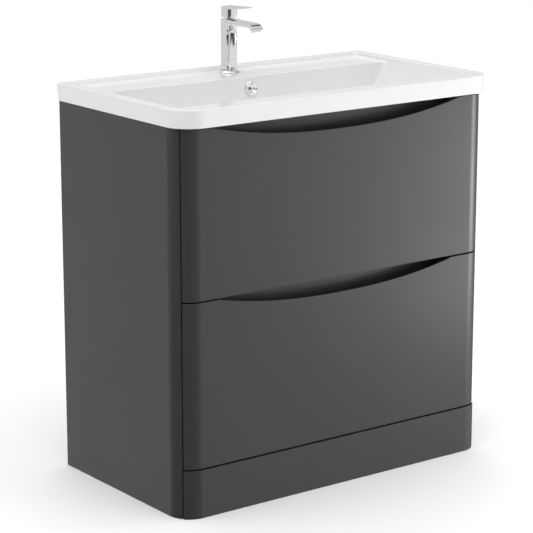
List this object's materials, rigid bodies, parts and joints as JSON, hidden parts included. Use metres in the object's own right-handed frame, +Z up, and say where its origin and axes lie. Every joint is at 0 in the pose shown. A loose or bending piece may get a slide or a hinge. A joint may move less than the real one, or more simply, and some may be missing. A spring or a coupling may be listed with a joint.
{
  "type": "bathroom vanity cabinet",
  "caption": "Floor-standing bathroom vanity with rounded front corners, smile-shaped finger scoops over full-width drawers, a white inset basin and a chrome lever tap.",
  "frame": {"origin": "on the floor, at the centre of the basin's rectangular outline", "axes": "+Z up, the drawers face -Y and open towards it, the back at +Y stands against a wall, +X to the right of someone facing the back wall"},
  "size_m": [0.81, 0.46, 0.976],
  "materials": {
    "anthracite_paint": "satin lacquer on board",
    "grey_board": "matt melamine on board",
    "white_ceramic": "gloss",
    "chrome": "polished",
    "steel": "zinc plated",
    "drawer_metal": "satin",
    "white_plastic": "satin",
    "rubber": "matt"
  },
  "bodies": {
    "root": {"side_panel_left": "anthracite_paint", "side_panel_right": "anthracite_paint", "plinth_front": "anthracite_paint", "plinth_rail": "grey_board", "bottom_panel": "grey_board", "back_panel": "grey_board", "back_rail_top": "grey_board", "back_rail_foot": "grey_board", "front_rail_top": "anthracite_paint", "front_rail_middle": "anthracite_paint", "basin": "white_ceramic", "overflow_ring": "chrome", "waste_body": "chrome", "waste_washer": "rubber", "waste_nut": "steel", "trap_inlet_nut": "white_plastic", "trap_body": "white_plastic", "trap_cup": "white_plastic", "trap_outlet_pipe": "white_plastic", "trap_outlet_nut": "white_plastic", "tap_body": "chrome", "tap_base_ring": "chrome", "tap_aerator": "steel", "tap_cartridge": "white_plastic", "tap_shank": "steel", "tap_washer": "rubber", "tap_mounting_nut": "steel", "upper_runner_fixed_left": "steel", "upper_runner_fixed_right": "steel", "lower_runner_fixed_left": "steel", "lower_runner_fixed_right": "steel"},
    "upper_drawer": {"upper_drawer_front": "anthracite_paint", "upper_drawer_bottom": "grey_board", "upper_drawer_side_left": "drawer_metal", "upper_drawer_side_right": "drawer_metal", "upper_front_bracket_left": "steel", "upper_front_bracket_right": "steel", "upper_runner_moving_left": "steel", "upper_runner_moving_right": "steel", "upper_drawer_back_left": "grey_board", "upper_drawer_back_right": "grey_board", "upper_drawer_notch_wall": "drawer_metal"},
    "upper_runner": {"upper_runner_middle_left": "steel", "upper_runner_middle_right": "steel"},
    "lower_drawer": {"lower_drawer_front": "anthracite_paint", "lower_drawer_bottom": "grey_board", "lower_drawer_side_left": "drawer_metal", "lower_drawer_side_right": "drawer_metal", "lower_front_bracket_left": "steel", "lower_front_bracket_right": "steel", "lower_runner_moving_left": "steel", "lower_runner_moving_right": "steel", "lower_drawer_back": "grey_board"},
    "lower_runner": {"lower_runner_middle_left": "steel", "lower_runner_middle_right": "steel"},
    "waste_plug": {"waste_plug": "chrome"},
    "tap_stem": {"tap_stem": "steel"},
    "tap_handle": {"tap_cap": "chrome", "tap_lever": "chrome"}
  },
  "joints": [
    {"name": "upper_drawer_slide", "type": "slide", "parent": "root", "child": "upper_drawer", "axis": [0, -1, 0], "range_m": [0, 0.36]},
    {"name": "upper_runner_slide", "type": "slide", "parent": "root", "child": "upper_runner", "axis": [0, -1, 0], "range_m": [0, 0.18]},
    {"name": "lower_drawer_slide", "type": "slide", "parent": "root", "child": "lower_drawer", "axis": [0, -1, 0], "range_m": [0, 0.36]},
    {"name": "lower_runner_slide", "type": "slide", "parent": "root", "child": "lower_runner", "axis": [0, -1, 0], "range_m": [0, 0.18]},
    {"name": "waste_plug_slide", "type": "slide", "parent": "root", "child": "waste_plug", "axis": [0, 0, 1], "range_m": [0, 0.01]},
    {"name": "lever_swivel", "type": "hinge", "parent": "root", "child": "tap_stem", "pos_m": [0, 0.175, 0.946], "axis": [0, 0, 1], "range_deg": [-45, 45]},
    {"name": "lever_tilt", "type": "hinge", "parent": "tap_stem", "child": "tap_handle", "pos_m": [0, 0.185, 0.9545], "axis": [-1, 0, 0], "range_deg": [0, 20]}
  ],
  "couplings": [
    {"joint": "upper_runner_slide", "follows": "upper_drawer_slide", "ratio": 0.5},
    {"joint": "lower_runner_slide", "follows": "lower_drawer_slide", "ratio": 0.5}
  ]
}
